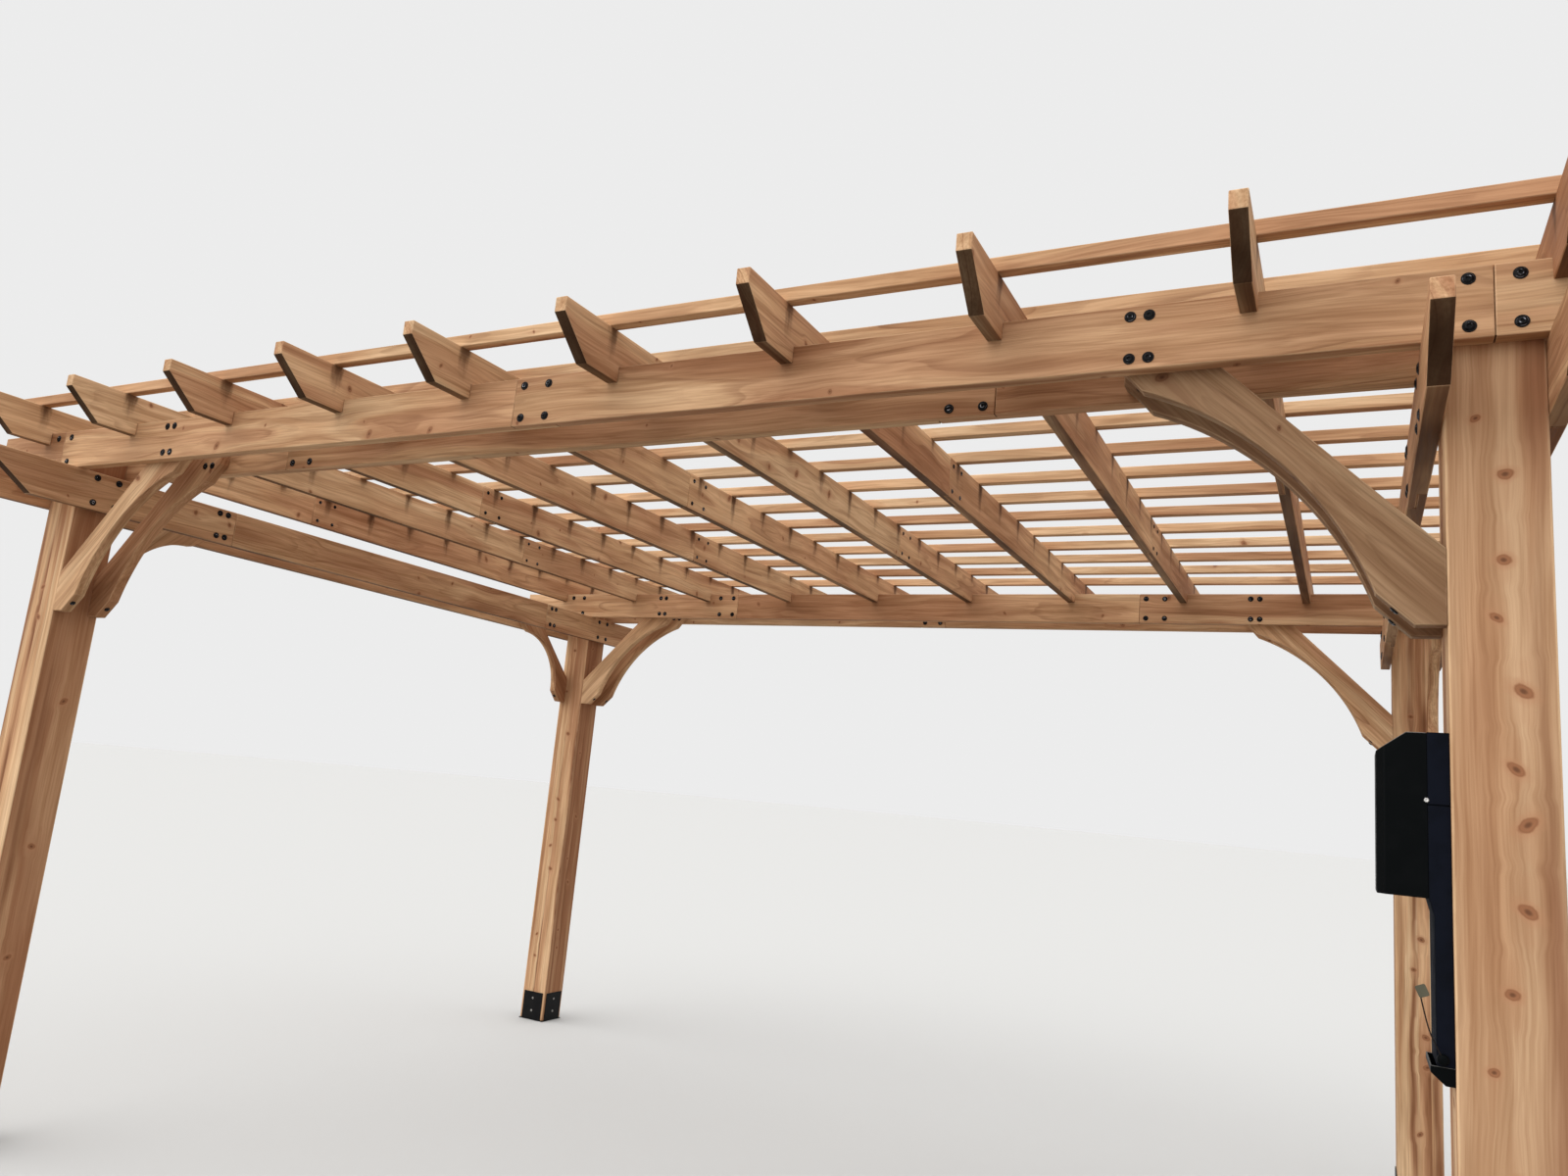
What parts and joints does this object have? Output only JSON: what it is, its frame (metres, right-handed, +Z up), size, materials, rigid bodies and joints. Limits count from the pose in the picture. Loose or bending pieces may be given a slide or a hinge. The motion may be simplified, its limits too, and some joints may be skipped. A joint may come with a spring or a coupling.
{
  "type": "wooden pergola",
  "caption": "Free-standing cedar garden pergola on square posts in steel shoes, with notched rafters, slats across them, curved knee braces and an outlet box on a post",
  "frame": {"origin": "on the ground at the middle of the plan, under the middle of the roof", "axes": "+X to the right along the headers, +Y to the back along the rafters, +Z up; the outlet box is on the front right post"},
  "size_m": [4.95, 3.656, 2.481],
  "materials": {
    "cedar": "oiled cedar, planed, with knots",
    "shoe_steel": "black powder coat",
    "outlet_plastic": "black, fine satin"
  },
  "bodies": {
    "root": {"post_front_left": "cedar", "post_shoe_front_left": "shoe_steel", "header_brace_front_left": "cedar", "side_brace_front_left": "cedar", "post_front_right": "cedar", "post_shoe_front_right": "shoe_steel", "header_brace_front_right": "cedar", "side_brace_front_right": "cedar", "post_back_left": "cedar", "post_shoe_back_left": "shoe_steel", "header_brace_back_left": "cedar", "side_brace_back_left": "cedar", "post_back_right": "cedar", "post_shoe_back_right": "shoe_steel", "header_brace_back_right": "cedar", "side_brace_back_right": "cedar", "header_front_outer": "cedar", "header_front_inner": "cedar", "header_back_outer": "cedar", "header_back_inner": "cedar", "side_beam_left_outer": "cedar", "side_beam_left_inner": "cedar", "side_beam_right_outer": "cedar", "side_beam_right_inner": "cedar", "rafter_01": "cedar", "rafter_02": "cedar", "rafter_03": "cedar", "rafter_04": "cedar", "rafter_05": "cedar", "rafter_06": "cedar", "rafter_07": "cedar", "rafter_08": "cedar", "rafter_09": "cedar", "rafter_10": "cedar", "slats_1": "cedar", "slats_2": "cedar", "slats_3": "cedar", "slats_4": "cedar", "slats_5": "cedar", "power_box_channel": "outlet_plastic", "power_box_housing": "outlet_plastic", "power_box_cable_tray": "outlet_plastic"}
  },
  "joints": []
}
